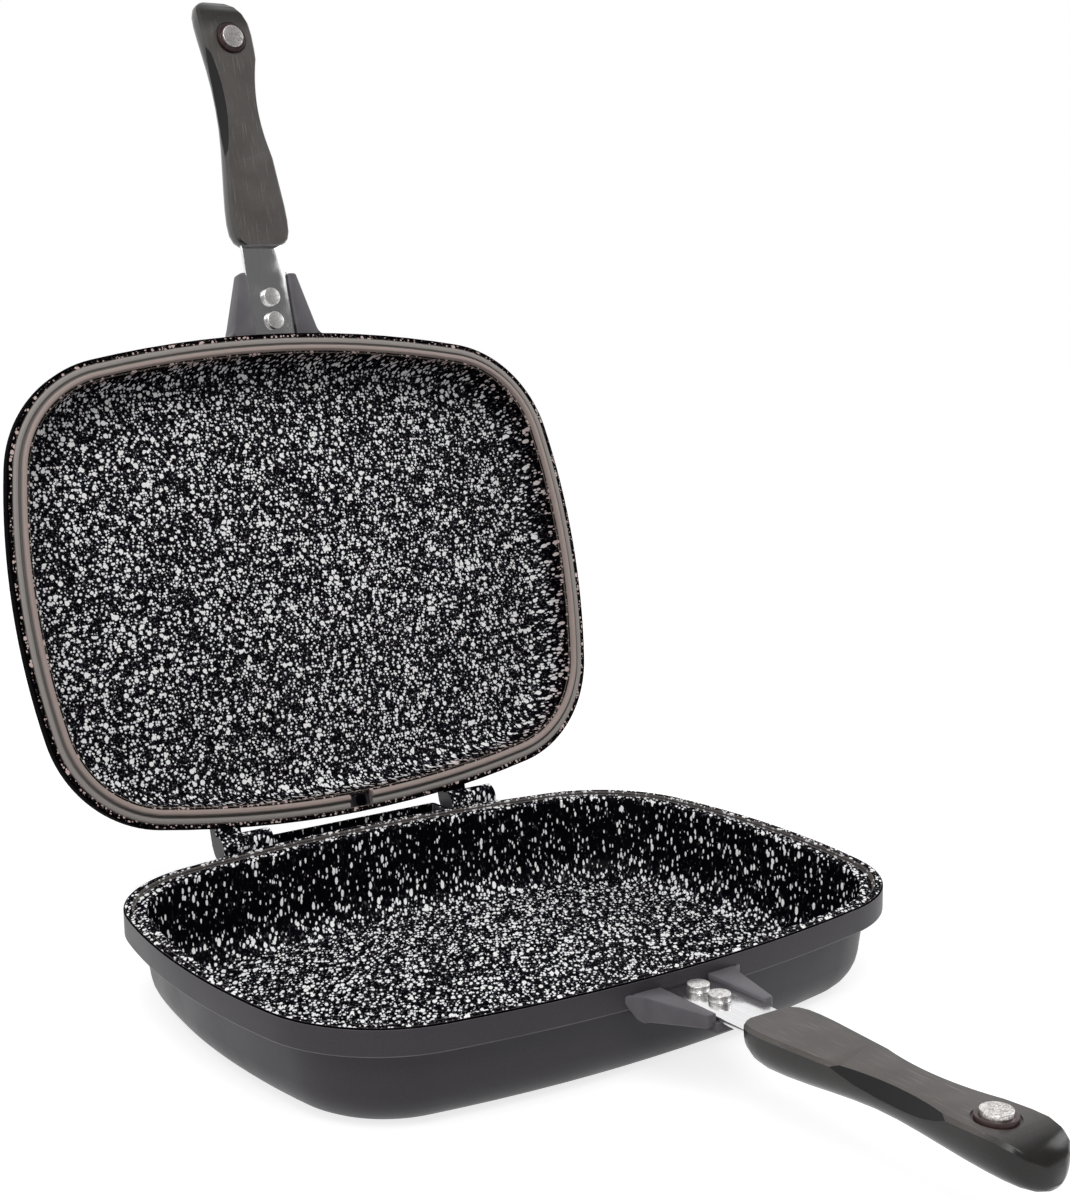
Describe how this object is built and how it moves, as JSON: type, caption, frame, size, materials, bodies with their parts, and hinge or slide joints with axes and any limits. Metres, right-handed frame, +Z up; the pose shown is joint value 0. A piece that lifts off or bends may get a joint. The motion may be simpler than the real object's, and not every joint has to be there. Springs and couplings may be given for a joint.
{
  "type": "double sided flip pan",
  "caption": "Double-sided flip pan: a deep pan and a shallow lid pan hinged at the back, each with a riveted steel strap and moulded grip, a silicone rim gasket and magnet closure.",
  "frame": {"origin": "middle of the lower pan's base, on the resting plane", "axes": "+Z up, +Y from the handles to the hinge, +X to the right seen from the handle side; rest pose is the lid standing open on its stops"},
  "size_m": [0.32, 0.5674, 0.4598],
  "materials": {
    "coated_aluminium": "dark non-stick coating with fine pale speckle inside, plain satin outside",
    "silicone": "matt moulded silicone",
    "hinge_steel": "ground",
    "strap_steel": "mirror polished",
    "rivet_metal": "bright, lightly hammered",
    "phenolic": "fine satin, as moulded",
    "collar_plastic": "satin",
    "magnet_plating": "bright nickel plate"
  },
  "bodies": {
    "lower_half": {"lower_pan": "coated_aluminium", "hinge_pin_left": "hinge_steel", "hinge_pin_right": "hinge_steel", "lower_strap": "strap_steel", "lower_rivet_inner": "rivet_metal", "lower_rivet_outer": "rivet_metal", "lower_grip": "phenolic", "lower_magnet_collar": "collar_plastic", "lower_magnet": "magnet_plating", "lower_grip_screw": "hinge_steel"},
    "upper_half": {"upper_pan": "coated_aluminium", "gasket": "silicone", "upper_strap": "strap_steel", "upper_rivet_inner": "rivet_metal", "upper_rivet_outer": "rivet_metal", "upper_grip": "phenolic", "upper_magnet_collar": "collar_plastic", "upper_magnet": "magnet_plating", "upper_grip_screw": "hinge_steel"}
  },
  "joints": [
    {"name": "lid_hinge", "type": "hinge", "parent": "lower_half", "child": "upper_half", "pos_m": [0, 0.128, 0.0475], "axis": [1, 0, 0], "range_deg": [0, 105.5]}
  ]
}
